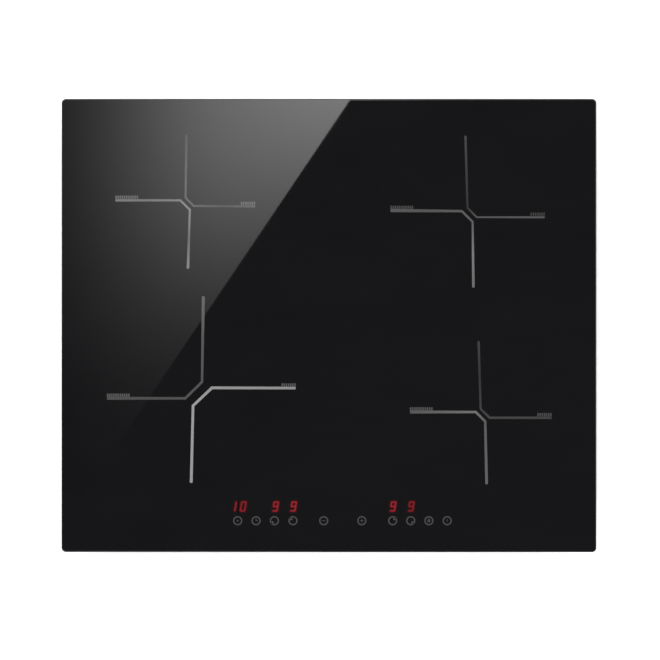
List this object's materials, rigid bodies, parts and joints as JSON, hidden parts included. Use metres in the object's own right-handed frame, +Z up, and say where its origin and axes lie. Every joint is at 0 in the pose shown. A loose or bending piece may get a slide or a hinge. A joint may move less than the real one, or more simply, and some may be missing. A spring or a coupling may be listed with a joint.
{
  "type": "induction cooktop",
  "caption": "Built-in induction cooktop: black glass on a stepped steel pan, with printed zone marks, touch keys, red displays, swivel clamps and a rear terminal box.",
  "frame": {"origin": "on the surface that the pan's bottom stands on, under the middle of the glass", "axes": "+X to the user's right along the glass's longer side, +Y to the rear, away from the touch keys, +Z up out of the cooking surface"},
  "size_m": [0.59, 0.5, 0.056],
  "materials": {
    "glass": "polished black glass-ceramic",
    "print": "fired grey enamel",
    "segment_light": "red light behind smoked glass",
    "foam": "closed-cell foam",
    "silicone": "cured bead",
    "zinc_steel": "galvanised, satin",
    "aluminium": "rolled, satin",
    "ferrite": "ground, matt",
    "former_plastic": "moulded, matt",
    "copper": "enamelled litz wire",
    "mica": "pressed flake",
    "sensor_rubber": "silicone",
    "circuit_board": "solder mask",
    "black_plastic": "moulded, fine texture",
    "grey_plastic": "moulded, matt",
    "display": "potted face",
    "screw_steel": "zinc plated"
  },
  "bodies": {
    "chassis": {"glass_top": "glass", "worktop_gasket": "foam", "glass_bond": "silicone", "base_pan": "zinc_steel", "centre_rail": "zinc_steel", "ferrite_star_rear_left": "ferrite", "coil_former_rear_left": "former_plastic", "coil_winding_rear_left": "copper", "mica_sheet_rear_left": "mica", "heat_sensor_rear_left": "sensor_rubber", "ferrite_star_rear_right": "ferrite", "coil_former_rear_right": "former_plastic", "coil_winding_rear_right": "copper", "mica_sheet_rear_right": "mica", "heat_sensor_rear_right": "sensor_rubber", "ferrite_star_front_left": "ferrite", "coil_former_front_left": "former_plastic", "coil_winding_front_left": "copper", "mica_sheet_front_left": "mica", "heat_sensor_front_left": "sensor_rubber", "ferrite_star_front_right": "ferrite", "coil_former_front_right": "former_plastic", "coil_winding_front_right": "copper", "mica_sheet_front_right": "mica", "heat_sensor_front_right": "sensor_rubber", "coil_shelf_left": "aluminium", "board_tray_left": "grey_plastic", "power_board_left": "circuit_board", "heat_sink_left": "aluminium", "blower_housing_left": "black_plastic", "coil_shelf_right": "aluminium", "board_tray_right": "grey_plastic", "power_board_right": "circuit_board", "heat_sink_right": "aluminium", "blower_housing_right": "black_plastic", "clamp_screw_front_left": "screw_steel", "clamp_screw_rear_left": "screw_steel", "clamp_screw_front_right": "screw_steel", "clamp_screw_rear_right": "screw_steel", "filter_board": "circuit_board", "touch_carrier": "black_plastic", "touch_board": "circuit_board", "display_timer": "display", "display_front_left": "display", "display_rear_left": "display", "display_rear_right": "display", "display_front_right": "display", "terminal_box": "black_plastic", "terminal_block": "grey_plastic"},
    "blower_left": {"blower_impeller_left": "black_plastic"},
    "blower_right": {"blower_impeller_right": "black_plastic"},
    "clamp_nut_front_left": {"clamp_nut_front_left": "screw_steel"},
    "clamp_arm_front_left": {"clamp_arm_front_left": "zinc_steel"},
    "clamp_nut_rear_left": {"clamp_nut_rear_left": "screw_steel"},
    "clamp_arm_rear_left": {"clamp_arm_rear_left": "zinc_steel"},
    "clamp_nut_front_right": {"clamp_nut_front_right": "screw_steel"},
    "clamp_arm_front_right": {"clamp_arm_front_right": "zinc_steel"},
    "clamp_nut_rear_right": {"clamp_nut_rear_right": "screw_steel"},
    "clamp_arm_rear_right": {"clamp_arm_rear_right": "zinc_steel"},
    "terminal_cover": {"terminal_cover": "black_plastic"}
  },
  "joints": [
    {"name": "blower_left_spin", "type": "hinge", "parent": "chassis", "child": "blower_left", "pos_m": [-0.19, 0.15, 0.015], "axis": [0, 0, 1], "continuous": true},
    {"name": "blower_right_spin", "type": "hinge", "parent": "chassis", "child": "blower_right", "pos_m": [0.19, 0.15, 0.015], "axis": [0, 0, 1], "continuous": true},
    {"name": "clamp_front_left_rise", "type": "slide", "parent": "chassis", "child": "clamp_nut_front_left", "axis": [0, 0, 1], "range_m": [0, 0.0145]},
    {"name": "clamp_front_left_swivel", "type": "hinge", "parent": "clamp_nut_front_left", "child": "clamp_arm_front_left", "pos_m": [-0.265, -0.15, 0.00675], "axis": [0, 0, 1], "range_deg": [0, 90]},
    {"name": "clamp_rear_left_rise", "type": "slide", "parent": "chassis", "child": "clamp_nut_rear_left", "axis": [0, 0, 1], "range_m": [0, 0.0145]},
    {"name": "clamp_rear_left_swivel", "type": "hinge", "parent": "clamp_nut_rear_left", "child": "clamp_arm_rear_left", "pos_m": [-0.265, 0.15, 0.00675], "axis": [0, 0, -1], "range_deg": [0, 90]},
    {"name": "clamp_front_right_rise", "type": "slide", "parent": "chassis", "child": "clamp_nut_front_right", "axis": [0, 0, 1], "range_m": [0, 0.0145]},
    {"name": "clamp_front_right_swivel", "type": "hinge", "parent": "clamp_nut_front_right", "child": "clamp_arm_front_right", "pos_m": [0.265, -0.15, 0.00675], "axis": [0, 0, -1], "range_deg": [0, 90]},
    {"name": "clamp_rear_right_rise", "type": "slide", "parent": "chassis", "child": "clamp_nut_rear_right", "axis": [0, 0, 1], "range_m": [0, 0.0145]},
    {"name": "clamp_rear_right_swivel", "type": "hinge", "parent": "clamp_nut_rear_right", "child": "clamp_arm_rear_right", "pos_m": [0.265, 0.15, 0.00675], "axis": [0, 0, 1], "range_deg": [0, 90]},
    {"name": "terminal_cover_hinge", "type": "hinge", "parent": "chassis", "child": "terminal_cover", "pos_m": [0.105, 0.2335, 0.0232], "axis": [1, 0, 0], "range_deg": [0, 100]}
  ]
}
